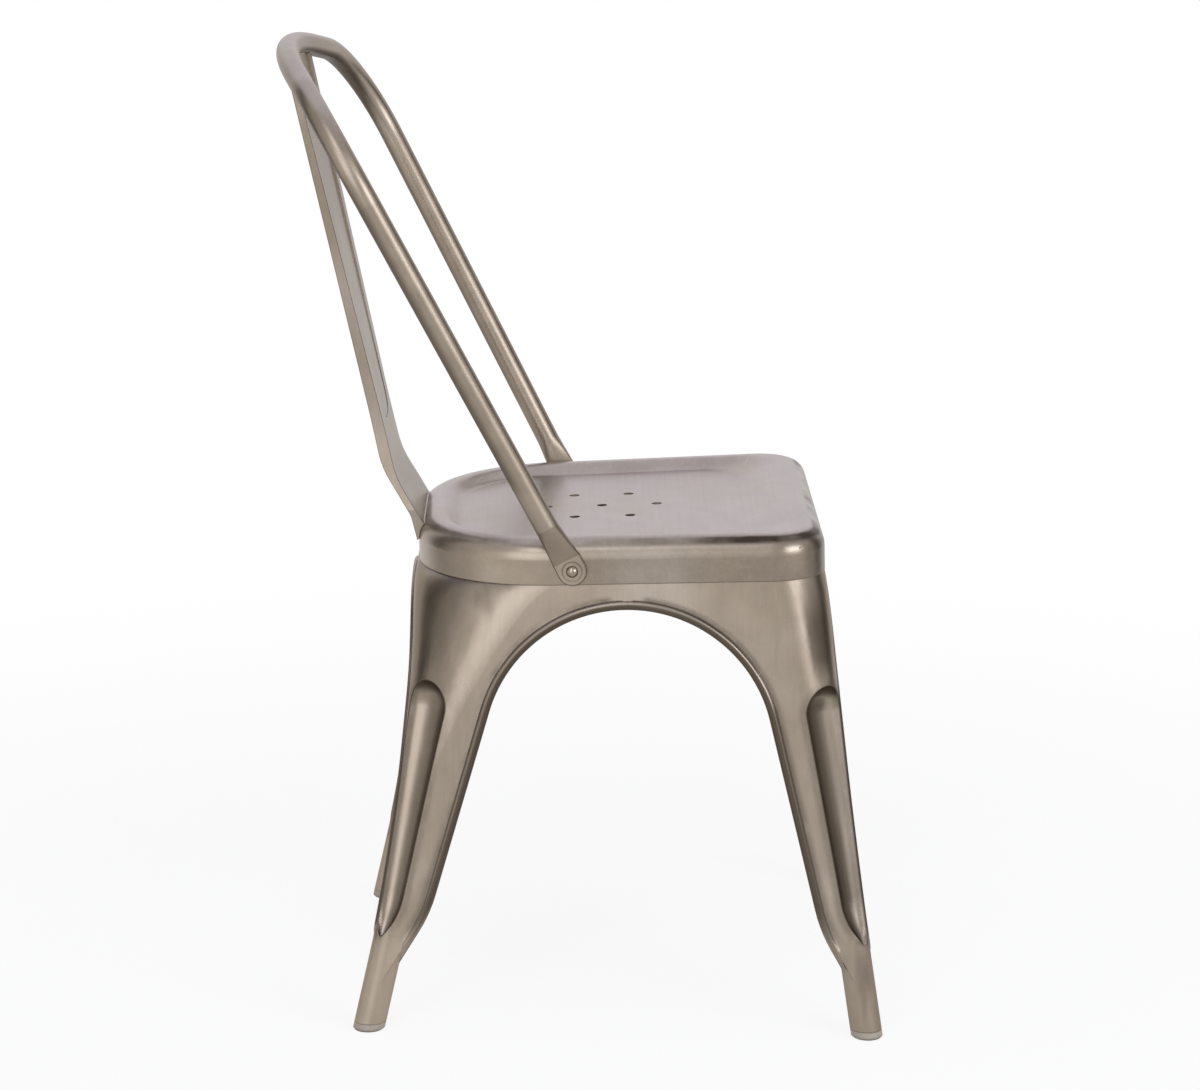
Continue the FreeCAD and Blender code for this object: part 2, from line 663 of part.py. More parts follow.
def front_prism(corners):
    """Even outline seen from the front, given by its left half from the top down, run through the depth."""
    points = [V(x, 0, SEAT_HEIGHT + up) for x, up, radius in corners]
    points += [V(-x, 0, SEAT_HEIGHT + up) for x, up, radius in corners[::-1]]
    radii = [radius for x, up, radius in corners]
    return prism(rounded(points, radii + radii[::-1], True), V(0, REACH, 0))


def fan(inset):
    """Outline of the splat."""
    return front_prism([(SPLAT_HALF_TOP - inset, SPLAT_TOP[1] + SPLAT_OVER, 0),
                        (SPLAT_HALF_WAIST - inset, SPLAT_WAIST, SPLAT_WAIST_ROUND),
                        (SPLAT_HALF_RIM - inset, SPLAT_RIM, 0),
                        (SPLAT_HALF_TIP - inset, FLANGE_TIP - SPLAT_OVER, 0)])


def panel(inset):
    """Outline of the splat's pressed field."""
    high = SPLAT_TOP[1] + SPLAT_OVER
    low = PANEL_FOOT + inset
    spread = (SPLAT_HALF_TOP - SPLAT_HALF_WAIST) / (high - SPLAT_WAIST)
    half_top = SPLAT_HALF_TOP - PANEL_MARGIN - inset
    return front_prism([(half_top, high, 0), (half_top - spread * (high - low), low, PANEL_ROUND)])


def back_splat():
    """Sheet with a pressed field and side flanges, cut to the underside of the hoop."""
    front = splat_line(0)
    face = side_strip(front, splat_line(SPLAT_SHEET)).common(fan(0)).cut(panel(0))
    field_back = panel_line(*[depth + SPLAT_SHEET for depth in PANEL_DEPTH])
    field = side_strip(panel_line(*PANEL_DEPTH), field_back).common(panel(-SPLAT_SHEET))
    step = side_strip(panel_line(0, 0), field_back).common(panel(-SPLAT_SHEET).cut(panel(0)))
    flange = side_strip(front, flange_line()).common(fan(0).cut(fan(SPLAT_SHEET)))
    sheet = face.fuse([field, step, flange])
    seat = seat_form(-WELD_FIT)
    seat.Placement = SEAT_PLACE
    return largest(sheet.cut([pipe(hoop_path(), HOOP_TUBE / 2 + WELD_FIT), seat]))


def brace_bar(level):
    """Flat bar from the front right to the rear left corner, with both ends folded down on the aprons."""
    gap = SEAT_SHEET + SKIRT_FIT
    ends = []
    for sign, y, radius in ((-1, SEAT_FRONT, CORNER_FRONT), (1, SEAT_REAR, CORNER_REAR)):
        toward = 1 if y < 0 else -1
        ends.append(V(sign * (SEAT_HALF - SIDE_TAPER * y - radius), y + toward * radius, 0))
    front, rear = ends
    axis = (rear - front).normalize()
    reaches = [math.sqrt((r - gap - LEG_SHEET) ** 2 - BRACE_WIDTH ** 2 / 4) - WELD_FIT
               for r in (CORNER_FRONT, CORNER_REAR)]
    length = (rear - front).Length + sum(reaches)
    top = -DISH_DEPTH - SEAT_SHEET - BRACE_DROP - level * (BRACE_THICK + WELD_FIT)
    bar = Part.makeBox(length, BRACE_WIDTH, BRACE_THICK, V(0, -BRACE_WIDTH / 2, top - BRACE_THICK))
    fold = Part.makeBox(BRACE_THICK, BRACE_WIDTH, BRACE_TAB, V(0, -BRACE_WIDTH / 2, top - BRACE_TAB))
    far = fold.copy()
    far.translate(V(length - BRACE_THICK, 0, 0))
    bar = bar.fuse([fold, far]).removeSplitter()
    bar.Placement = FreeCAD.Placement(front - axis * reaches[0], FreeCAD.Rotation(V(1, 0, 0), axis))
    bar.Placement = SEAT_PLACE.multiply(bar.Placement)
    return bar


def export(name, shape):
    shape = shape.copy()
    shape.translate(V(0, FEET_Y, 0))
    shape.exportStep(os.path.join("parts", name + ".step"))


def both(name, shape):
    """A right-hand piece and its left-hand twin."""
    export(name + "_right", shape)
    export(name + "_left", mirrored(shape))


os.makedirs("parts", exist_ok=True)
export("seat_pan", seat_pan())
both("leg_front", leg(False))
both("leg_rear", leg(True))
both("foot_glide_front", foot_glide(False))
both("foot_glide_rear", foot_glide(True))
export("back_hoop", back_hoop())
export("back_splat", back_splat())
both("hoop_rivet", hoop_rivet())
both("rivet_washer", rivet_washer())
export("brace_bar_upper", brace_bar(0))
export("brace_bar_lower", mirrored(brace_bar(1)))
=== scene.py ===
# %% [markdown]
# # A bistro chair in pressed steel
#
# This lesson dresses a finished CAD model in Blender. Every piece of the chair, such as the seat pan, the
# four pressed legs and the bent tube of the back, already has its true shape and place. What is left is
# what the eye judges first: the brushed and darkened steel under its lacquer, the light of a studio and
# the photographer's point of view.
#
# We begin by loading the model. It arrives as separate objects, all at the origin, with their places in
# their meshes. Their box is kept, because nothing that we add may make the chair larger.

# %% Load the chair
import json
import math

import bmesh
import bpy
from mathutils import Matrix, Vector
from mathutils.bvhtree import BVHTree


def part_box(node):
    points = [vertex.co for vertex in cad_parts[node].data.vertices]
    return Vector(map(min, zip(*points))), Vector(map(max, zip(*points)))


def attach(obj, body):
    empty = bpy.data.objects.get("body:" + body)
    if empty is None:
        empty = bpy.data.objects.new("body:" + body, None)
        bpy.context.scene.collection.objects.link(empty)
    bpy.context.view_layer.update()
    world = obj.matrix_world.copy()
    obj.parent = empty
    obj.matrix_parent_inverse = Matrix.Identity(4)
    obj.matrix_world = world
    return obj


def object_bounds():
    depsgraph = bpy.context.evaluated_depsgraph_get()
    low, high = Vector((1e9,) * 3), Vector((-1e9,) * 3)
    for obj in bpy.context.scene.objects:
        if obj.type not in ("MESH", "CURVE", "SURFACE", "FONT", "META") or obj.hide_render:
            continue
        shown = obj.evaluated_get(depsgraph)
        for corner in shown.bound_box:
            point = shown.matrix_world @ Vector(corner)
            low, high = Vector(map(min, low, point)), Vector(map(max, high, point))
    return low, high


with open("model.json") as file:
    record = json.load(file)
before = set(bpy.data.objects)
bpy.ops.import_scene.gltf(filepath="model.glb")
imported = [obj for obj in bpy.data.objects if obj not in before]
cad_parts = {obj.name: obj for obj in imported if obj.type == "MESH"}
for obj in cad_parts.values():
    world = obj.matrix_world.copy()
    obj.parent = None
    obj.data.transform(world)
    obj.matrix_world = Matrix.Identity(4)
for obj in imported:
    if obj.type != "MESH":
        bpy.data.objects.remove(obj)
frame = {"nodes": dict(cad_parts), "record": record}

cad_low, cad_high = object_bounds()
cad_size = cad_high - cad_low
print("pieces:", len(frame["nodes"]), "size in metres:", [round(side, 3) for side in cad_size])

# %% [markdown]
# ## The camera
#
# The photograph was taken from the chair's right side, a little above the seat, with a long lens: the far
# legs are only slightly smaller than the near ones. A camera can be placed by eye, but then proportions
# never quite agree. Here it was solved from the outline, so its place, its turn and its lens are known,
# and we only write them down. Blender wants the focal length in millimetres of a 36 mm wide sensor, so
# the focal length in pixels is converted.

# %% Place the camera
IMAGE_WIDTH_PX = 1200
FOCAL_LENGTH_PX = 3679.7
SENSOR_WIDTH_MM = 36.0
CAMERA_PLACE = Vector((-3.2217, 0.0138, 1.1706))
CAMERA_YAW = math.radians(-0.5665)
CAMERA_PITCH = math.radians(-13.5803)
VIEW_DEPTH = 200


def gaze(yaw, pitch):
    """The direction of a camera that is turned from +X by yaw and tipped up by pitch."""
    return Vector((math.cos(pitch) * math.cos(yaw), math.cos(pitch) * math.sin(yaw), math.sin(pitch)))


def aim(thing, direction):
    """Turns a camera or a lamp, which look along their own -Z, to a direction."""
    thing.rotation_euler = direction.to_track_quat("-Z", "Y").to_euler()


def add_camera():
    lens = bpy.data.cameras.new("photo_camera")
    lens.sensor_fit = "HORIZONTAL"
    lens.sensor_width = SENSOR_WIDTH_MM
    lens.lens = FOCAL_LENGTH_PX / IMAGE_WIDTH_PX * SENSOR_WIDTH_MM
    lens.clip_end = VIEW_DEPTH
    camera = bpy.data.objects.new("photo_camera", lens)
    camera.location = CAMERA_PLACE
    aim(camera, gaze(CAMERA_YAW, CAMERA_PITCH))
    bpy.context.scene.collection.objects.link(camera)
    bpy.context.scene.camera = camera
    return camera


camera = add_camera()
print("lens:", round(camera.data.lens, 1), "mm")

# %% [markdown]
# ## Sums with sockets
#
# A procedural material is a small program made of nodes. Wired by hand, even `1 - mask` takes a node and
# two links, and the idea gets lost. So a socket is wrapped in a class that knows `+`, `-`, `*` and `/`:
# each operator adds the Math node that it stands for. The reflected forms, such as `__rsub__`, let a plain
# number stand on the left. Every other node comes from one method, which sets the node's options before
# it fills the sockets, because some options change which sockets there are.

# %% A socket that can be added and multiplied
class Wire:
    """An output socket of a shader, on which Python's operators add Math nodes."""

    def __init__(self, shader, socket):
        self.shader = shader
        self.socket = socket

    def math(self, operation, first, second):
        return self.shader.node("ShaderNodeMath", {"operation": operation}, {0: first, 1: second})

    def __add__(self, other):
        return self.math("ADD", self, other)

    def __radd__(self, other):
        return self.math("ADD", other, self)

    def __sub__(self, other):
        return self.math("SUBTRACT", self, other)

    def __rsub__(self, other):
        return self.math("SUBTRACT", other, self)

    def __mul__(self, other):
        return self.math("MULTIPLY", self, other)

    def __rmul__(self, other):
        return self.math("MULTIPLY", other, self)

    def __truediv__(self, other):
        return self.math("DIVIDE", self, other)

    def __abs__(self):
        return self.math("ABSOLUTE", self, 0)

    def largest(self, other):
        return self.math("MAXIMUM", self, other)


# %% A node tree with one way to make a node
class Shader:
    """The node tree of a material or of the world."""

    def __init__(self, owner):
        owner.use_nodes = True
        self.tree = owner.node_tree
        self.tree.nodes.clear()

    def node(self, kind, settings=None, sockets=None, output=0):
        """Adds a node, sets its options, fills its sockets and gives one of its outputs."""
        made = self.tree.nodes.new(kind)
        for name, value in (settings or {}).items():
            setattr(made, name, value)
        for name, value in (sockets or {}).items():
            if isinstance(value, Wire):
                self.tree.links.new(value.socket, made.inputs[name])
            else:
                made.inputs[name].default_value = value
        return Wire(self, made.outputs[output]) if made.outputs else None

    def beside(self, wire, output):
        """Another output of the node that a wire comes from."""
        return Wire(self, wire.socket.node.outputs[output])

    def step(self, value, low, high):
        """0 at low, 1 at high and beyond, with a smooth slope between. Low may be the larger one."""
        return self.node(
            "ShaderNodeMapRange",
            {"interpolation_type": "SMOOTHSTEP"},
            {"Value": value, "From Min": low, "From Max": high},
        )

    def band(self, value, rise, fall):
        """1 between two smooth slopes: it rises over the first pair and falls over the second."""
        return self.step(value, *rise) * self.step(value, fall[1], fall[0])

    def blend(self, factor, first, second):
        """A colour between two colours."""
        sockets = {"Factor": factor, 6: first, 7: second}
        return self.node("ShaderNodeMix", {"data_type": "RGBA"}, sockets, output=2)

    def vector(self, operation, first, second=(0, 0, 0), output=0):
        """A sum on vectors; output 1 is for those that give a number."""
        return self.node("ShaderNodeVectorMath", {"operation": operation}, {0: first, 1: second}, output)

    def shade(self, colour, tone):
        """A colour made lighter or darker by a number."""
        return self.node("ShaderNodeVectorMath", {"operation": "SCALE"}, {0: colour, "Scale": tone})

    def noise(self, place, scale, detail):
        """A cloudy number around 0, from about -0.5 to 0.5."""
        sockets = {"Vector": place, "Scale": scale, "Detail": detail}
        return self.node("ShaderNodeTexNoise", None, sockets) - 0.5

    def parts(self, vector):
        """The three numbers of a vector."""
        x = self.node("ShaderNodeSeparateXYZ", None, {0: vector})
        return x, self.beside(x, 1), self.beside(x, 2)


print("shader classes ready")

# %% [markdown]
# ## Studio floor and walls
#
# Steel has hardly a colour of its own: it shows what stands around it. A photographer therefore gives it a
# pale room. The floor is a wide disc. Seen by the camera, or mirrored in the steel, most of it shines
# white by itself, and near the chair the rest is plain paint that catches the soft shadow. The world does
# much the same: the camera sees white, the steel sees a white wall with greyer sides and ceiling, and the
# rays that light the scene get only a modest grey.

# %% The floor and the room
FLOOR_RADIUS = 40.0
FLOOR_DROP = 0.0002
FLOOR_SIDES = 96
FLOOR_PAINT = (0.93, 0.93, 0.93, 1)
FLOOR_GLOW_NEAR = 0.88
FLOOR_GLOW_REACH = (0.45, 1.6)
WHITE = (1, 1, 1, 1)
ROOM_LIGHT = (0.52, 0.52, 0.52, 1)
ROOM_CEILING = (0.78, 0.77, 0.77, 1)
ROOM_SIDES = (0.85, 0.85, 0.85, 1)
CEILING_RISE = (0.3, 0.85)
SIDES_SPREAD = (0.65, 0.25)


def background_rays(shader):
    """1 for rays that show the background, straight, mirrored or through glass, and 0 for the rest."""
    seen = shader.node("ShaderNodeLightPath", output="Is Camera Ray")
    mirrored = shader.beside(seen, "Is Glossy Ray")
    passed = shader.beside(seen, "Is Transmission Ray")
    return seen.largest(mirrored).largest(passed)


def floor_finish():
    material = bpy.data.materials.new("studio_floor")
    shader = Shader(material)
    place = shader.node("ShaderNodeTexCoord", output="Object")
    away = shader.step(shader.vector("LENGTH", place, output=1), *FLOOR_GLOW_REACH)
    share = FLOOR_GLOW_NEAR + (1 - FLOOR_GLOW_NEAR) * away
    paint = shader.node("ShaderNodeBsdfDiffuse", None, {"Color": FLOOR_PAINT})
    glow = shader.node("ShaderNodeEmission", None, {"Color": WHITE, "Strength": 1})
    sockets = {0: background_rays(shader) * share, 1: paint, 2: glow}
    surface = shader.node("ShaderNodeMixShader", None, sockets)
    shader.node("ShaderNodeOutputMaterial", None, {"Surface": surface})
    return material


def add_floor():
    mesh = bpy.data.meshes.new("studio_floor")
    disc = bmesh.new()
    bmesh.ops.create_circle(disc, cap_ends=True, segments=FLOOR_SIDES, radius=FLOOR_RADIUS)
    bmesh.ops.translate(disc, verts=disc.verts, vec=(0, 0, -FLOOR_DROP))
    disc.to_mesh(mesh)
    disc.free()
    mesh.materials.append(floor_finish())
    floor = bpy.data.objects.new("studio_floor", mesh)
    bpy.context.scene.collection.objects.link(floor)


def set_room():
    """A world that the camera sees white, and the steel as a white wall with greyer sides and ceiling."""
    world = bpy.data.worlds.new("studio_room")
    bpy.context.scene.world = world
    shader = Shader(world)
    sideways, _, upward = shader.parts(shader.node("ShaderNodeTexCoord", output="Generated"))
    walls = shader.blend(shader.step(abs(sideways), *SIDES_SPREAD), WHITE, ROOM_SIDES)
    room = shader.blend(shader.step(upward, *CEILING_RISE), walls, ROOM_CEILING)
    seen = shader.node("ShaderNodeLightPath", output="Is Camera Ray")
    lit = shader.blend(background_rays(shader), ROOM_LIGHT, room)
    colour = shader.blend(seen, lit, WHITE)
    surface = shader.node("ShaderNodeBackground", None, {"Color": colour, "Strength": 1})
    shader.node("ShaderNodeOutputWorld", None, {"Surface": surface})


add_floor()
set_room()
bpy.context.scene.view_settings.view_transform = "Standard"
print("floor radius:", FLOOR_RADIUS, "m")

# %% [markdown]
# ## Lamps and black cards
#
# Three large soft lamps draw the bright streaks along the tubes and the corners of the legs. They are a
# touch cooler than the room. Out of the picture stand two black cards, which draw the dark lines beside the
# streaks. The cards are hidden from the camera, throw no shadow and take no soft light away, so they are
# seen only in the steel.

# %% The lamps and the cards
CHAIR_MIDDLE = Vector((0, 0, 0.45))
SOFTBOXES = {
    "lamp_overhead": {"place": (-1.9, 0.75, 2.4), "size": 1.0, "watts": 9},
    "lamp_front": {"place": (-2.05, -2.1, 1.4), "size": 1.5, "watts": 36},
    "lamp_rear": {"place": (-2.6, 1.15, 1.0), "size": 1.8, "watts": 17},
}
LAMP_COLOUR = (0.96, 1.0, 1.12)
CARD_DISTANCE = 1.6
CARD_SPAN = (0.15, 0.95)
CARD_HEIGHT = 2.2
CARD_BLACK = (0.05, 0.05, 0.05, 1)


def add_softbox(name, place, size, watts):
    lamp = bpy.data.lights.new(name, "AREA")
    lamp.size = size
    lamp.energy = watts
    lamp.color = LAMP_COLOUR
    softbox = bpy.data.objects.new(name, lamp)
    softbox.location = place
    softbox.visible_camera = False
    aim(softbox, CHAIR_MIDDLE - Vector(place))
    bpy.context.scene.collection.objects.link(softbox)


def card_finish():
    material = bpy.data.materials.new("black_card")
    shader = Shader(material)
    surface = shader.node("ShaderNodeBsdfDiffuse", None, {"Color": CARD_BLACK})
    shader.node("ShaderNodeOutputMaterial", None, {"Surface": surface})
    return material


def add_card(name, y, finish):
    """A black card that stands beside the chair and is seen only in the steel."""
    near, far = CARD_SPAN
    mesh = bpy.data.meshes.new(name)
    corners = [(near, y, 0), (far, y, 0), (far, y, CARD_HEIGHT), (near, y, CARD_HEIGHT)]
    mesh.from_pydata(corners, [], [(0, 1, 2, 3)])
    mesh.materials.append(finish)
    card = bpy.data.objects.new(name, mesh)
    card.visible_camera = False
    card.visible_diffuse = False
    card.visible_shadow = False
    bpy.context.scene.collection.objects.link(card)


for name, softbox in SOFTBOXES.items():
    add_softbox(name, **softbox)
black_card = card_finish()
add_card("card_front", -CARD_DISTANCE, black_card)
add_card("card_rear", CARD_DISTANCE, black_card)
print("lamps:", list(SOFTBOXES))

# %% [markdown]
# ## The antique steel
#
# The chair's sheet is brushed, stained dark and lacquered. Its finish is a beige grey with soft clouds
# where the stain is thicker, fine strokes from the brush, a few hairline scratches, and brown stain that
# the polisher's cloth leaves along edges. Faces that look up are painted a cool lilac grey, a painted
# reflection of the pale room, and faces that look down get the same brown as painted shade. One class
# holds what every piece shares. Each piece then adds the marks that only it has.
#
# The edges are found with the Bevel node. It gives the normal that a rounded edge would have, so where it
# differs from the true normal, there is an edge nearby. The Specular Tint of a metal is its colour at a
# grazing angle. A darker one keeps the outlines of the legs from shining like chrome.

# %% Colours and grains of the steel
SIDE_STEEL = (0.282, 0.234, 0.181, 1)
COOL_STEEL = (0.33, 0.283, 0.232, 1)
# Faces that look up get these lighter lilac colours, a painted reflection of the pale room.
TOP_STEEL_SHEEN = (0.46, 0.41, 0.40, 1)
TOP_WARM_SHEEN = (0.43, 0.375, 0.335, 1)
# One brown for real stain and for painted shade and painted dark reflection.
STAIN_AND_SHADE_BROWN = (0.060, 0.045, 0.032, 1)
GRAZING_TINT = (0.66, 0.60, 0.57, 1)
GRAZING_MIDDLE = (0.82, 0.79, 0.79, 1)
GRAZING_PALE = (0.90, 0.88, 0.89, 1)
COOL_CLOUDS = (0.0, 0.28)
WARM_CLOUDS = (0.02, 0.24)
FACING_UP = (0.45, 0.92)
# Faces that look down get painted shade.
FACING_DOWN = (-0.12, -0.55)
EDGE_TURN = (0.004, 0.05)
EDGE_SAMPLES = 8
HALO_TURN = (0.004, 0.14)
HALO_PATCHES = (-0.3, 0.15)
HALO_SAMPLES = 6
CLOUD_GRAIN = {"scale": 8, "detail": 2}
MOTTLE_GRAIN = {"scale": 40, "detail": 2}
STROKES_UPRIGHT = (260, 260, 8)
STROKES_SIDEWAYS = (8, 260, 260)
STROKES_SOFT = (40, 40, 40)
STRIPES_UPRIGHT = (110, 110, 2.5)
SCRATCH_GRAIN = (55, 900, 620)
SCRATCH_RARE = (0.235, 0.26)
SCRATCH_TURN = (0.6, 0.0, 0.4)
MOTTLE_TONE = 0.26
STROKE_TONE = 0.20
SCRATCH_TONE = 0.12
MOTTLE_ROUGH = 0.06
STROKE_ROUGH = 0.03
STAIN_AND_SHADE_ROUGH = 0.10
STROKE_BUMP = {"Strength": 0.02, "Distance": 0.0004}
LACQUER = {"Coat Weight": 0.12, "Coat Roughness": 0.2}


# %% What every steel piece shares
class Steel(Shader):
    """The node tree of one steel finish, with the places and normals that its marks are drawn from."""

    def __init__(self, name, strokes, edge):
        self.material = bpy.data.materials.new(name)
        super().__init__(self.material)
        self.place = self.node("ShaderNodeTexCoord", output="Object")
        self.x, self.y, self.z = self.parts(self.place)
        self.normal = self.node("ShaderNodeNewGeometry", output="Normal")
        self.across, self.along, self.up = self.parts(self.normal)
        self.rounded = self.node("ShaderNodeBevel", {"samples": EDGE_SAMPLES}, {"Radius": edge})
        self.cloud = self.noise(self.place, **CLOUD_GRAIN)
        self.mottle = self.noise(self.place, **MOTTLE_GRAIN)
        self.stroke = self.noise(self.vector("MULTIPLY", self.place, strokes), scale=1, detail=3)

    def edges(self):
        """1 along sharp edges, inner and outer ones."""
        return self.step(1 - self.vector("DOT_PRODUCT", self.rounded, self.normal, output=1), *EDGE_TURN)

    def halo(self, reach):
        """A soft shadow of stain that spreads from the edges, in patches."""
        wide = self.node("ShaderNodeBevel", {"samples": HALO_SAMPLES}, {"Radius": reach})
        turn = 1 - self.vector("DOT_PRODUCT", wide, self.normal, output=1)
        return self.step(turn, *HALO_TURN) * self.step(self.mottle + self.cloud, *HALO_PATCHES)

    def softened(self, share):
        """The normal, with edges rounded where the share is 1."""
        sockets = {0: share, 4: self.normal, 5: self.rounded}
        return self.node("ShaderNodeMix", {"data_type": "VECTOR"}, sockets, output=1)

    def below(self):
        """1 on faces that look down, which get painted shade."""
        return self.step(self.up, *FACING_DOWN)

    def scratches(self):
        """Short hairlines, few and far between."""
        slanted = self.node("ShaderNodeMapping", None, {"Vector": self.place, "Rotation": SCRATCH_TURN})
        hairs = self.noise(self.vector("MULTIPLY", slanted, SCRATCH_GRAIN), scale=1, detail=0)
        return self.step(hairs, *SCRATCH_RARE)

    def finish(self, stain_and_shade, roughness=0.33, clouds=0.42, normal=None, grazing=GRAZING_TINT, painted_light=0):
        """Joins colour, stain and painted shade, gloss and bump. Stain and painted shade go from 0 to 1;
        painted light lightens, or darkens below 0.
        """
        side = self.blend(self.step(self.cloud, *COOL_CLOUDS), SIDE_STEEL, COOL_STEEL)
        painted_top_sheen = self.blend(self.step(self.cloud, *WARM_CLOUDS), TOP_STEEL_SHEEN, TOP_WARM_SHEEN)
        # Faces that look up are painted in the lilac colours: a painted reflection of the pale room.
        base = self.blend(self.step(self.up, *FACING_UP), side, painted_top_sheen)
        tone = 1 + clouds * self.cloud + MOTTLE_TONE * self.mottle + STROKE_TONE * self.stroke
        # Painted light: whole regions painted lighter or darker as light falls on them.
        tone = tone + SCRATCH_TONE * self.scratches() + painted_light
        # Toward the brown go real stain, painted shade and painted dark reflection.
        base = self.blend(stain_and_shade, self.shade(base, tone), STAIN_AND_SHADE_BROWN)
        rough = roughness + MOTTLE_ROUGH * self.mottle + STROKE_ROUGH * self.stroke + STAIN_AND_SHADE_ROUGH * stain_and_shade
        sockets = {**STROKE_BUMP, "Height": self.stroke, "Normal": normal or self.rounded}
        bump = self.node("ShaderNodeBump", None, sockets)
        sockets = {"Base Color": base, "Roughness": rough, "Normal": bump, "Metallic": 1.0}
        sockets.update({"Specular Tint": grazing, **LACQUER})
        surface = self.node("ShaderNodeBsdfPrincipled", None, sockets)
        self.node("ShaderNodeOutputMaterial", None, {"Surface": surface})
        return self.material


print("steel finish ready")

# %% [markdown]
# ## The legs
#
# A leg is pressed from one sheet. The polisher's cloth runs along its flat wings and leaves brown stain in
# a soft halo beside every edge and in faint upright smears. The inner side of the rolled arch and the faces
# that look down get the same brown as painted shade. Down the corner above the groove and in the pressed
# groove the brown is partly stain and partly a painted dark reflection, in the groove also painted shade.
# The rear feet are painted lighter, a painted reflection of the bright floor. The roll is found by its
# direction: its inner side is the one that looks at the middle of the arch. The corner and the groove are
# found by how far a face has turned from the side to the end of the chair. Two legs are butt welded at
# the crown of each arch and ground flush, so there no edge may show.

# %% Steel of the legs
LEG_EDGE = 0.0026
SKIRT_FOOT_Z = 0.3986
WALL_HALF = 0.16656
WALL_TAPER = 0.055
WALL_FLARE = 0.089
ROLL_DEPTH = (0.009, 0.012)
ROLL_TURN = (0.2, 0.6)
RIDGE_TURN = (-0.65, -0.2)
RIDGE_PROUD = (0.0003, 0.0010)
ROLL_FOOT_Z = (0.05, 0.12)
ARCH_MIDDLE_Z = 0.2
SEAM_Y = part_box("leg_front_right")[1].y
SEAM_FADE = (0.002, 0.006)
HALO_FADE = (0.010, 0.018)
HALO_REACH = 0.009
FRONT_FADE = 0.01
FRONT_EARLIER = 0.13
CORNER_TURN = ((0.36, 0.48), (0.58, 0.72))
CORNER_Z = ((0.305, 0.335), (0.36, 0.42))
GROOVE_TURN = ((0.14, 0.45), (0.95, 0.995))
GROOVE_Z = ((0.078, 0.092), (0.285, 0.31))
GROOVE_FACES_END = (0, 0.05)
FOOT_BLEND_Z = (0.082, 0.10)
# The rear feet are painted lighter: a painted reflection of the bright floor below them.
FOOT_REFLECTION_Z = (0.11, 0.06)
FOOT_PAINTED_REFLECTION = 0.32
SMEAR_GRAIN = (34, 34, 9)
SMEAR_RARE = (0.08, 0.34)
# Roll and below are painted shade; edge, halo and smear are stain.
LEG_STAIN_AND_SHADE = {"edge": 0.95, "halo": 0.65, "smear": 0.50, "roll": 0.90, "below": 0.80}
# The corner band: partly stain, partly painted dark reflection.
CORNER_STAIN_AND_REFLECTION = {"least": 0.40, "more_in_front": 0.35, "clouds": 0.8}
# The groove band: partly stain, partly painted shade and painted dark reflection.
GROOVE_STAIN_AND_SHADE = {"least": 0.42, "more_in_front": 0.40, "clouds": 0.5}
NEVER_ZERO = 0.001


def corner_turn(steel):
    """0 on a face that looks sideways, 1 on one that looks to the front or the rear."""
    across = abs(steel.across)
    along = abs(steel.along)
    return along / (across + along + NEVER_ZERO)


def turned(steel, front, rise, fall):
    """1 where a corner has turned by a certain share, which starts earlier on the front legs."""
    turn = corner_turn(steel)
    return steel.step(turn + FRONT_EARLIER * front, *rise) * steel.step(turn, fall[1], fall[0])


def patchy(steel, front, least, more_in_front, clouds):
    """The strength of a darkening, partly stain and partly painted dark reflection, in clouds and stronger
    in front.
    """
    return least + more_in_front * front + clouds * steel.cloud


def off_seams(steel, fade):
    """0 along the flush seams between two legs, 1 away from them."""
    return steel.step(abs(steel.y - SEAM_Y), *fade) * steel.step(abs(steel.x), *fade)


def roll_shade(steel):
    """1 on the inner side of the rolled arches, which gets painted shade."""
    # How deep a point lies inside the side wall, which narrows to the rear and flares to the floor.
    depth = WALL_HALF - WALL_TAPER * steel.y + WALL_FLARE * (SKIRT_FOOT_Z - steel.z) - abs(steel.x)
    in_end_wall = steel.step(depth, *ROLL_DEPTH)
    inward = steel.vector("SUBTRACT", (0, SEAM_Y, ARCH_MIDDLE_Z), steel.place)
    turns = []
    for plane in ((0, 1, 1), (1, 0, 1)):
        toward = steel.vector("NORMALIZE", steel.vector("MULTIPLY", inward, plane))
        turns.append(steel.vector("DOT_PRODUCT", steel.normal, toward, output=1))
    side, end = turns
    turn = side + in_end_wall * (end - side)
    # Where the roll stands proud of the wall, the painted shade reaches further round it.
    ridge = steel.step(0 - depth, *RIDGE_PROUD) * steel.step(turn, *RIDGE_TURN)
    return ridge.largest(steel.step(turn, *ROLL_TURN)) * steel.step(steel.z, *ROLL_FOOT_Z)


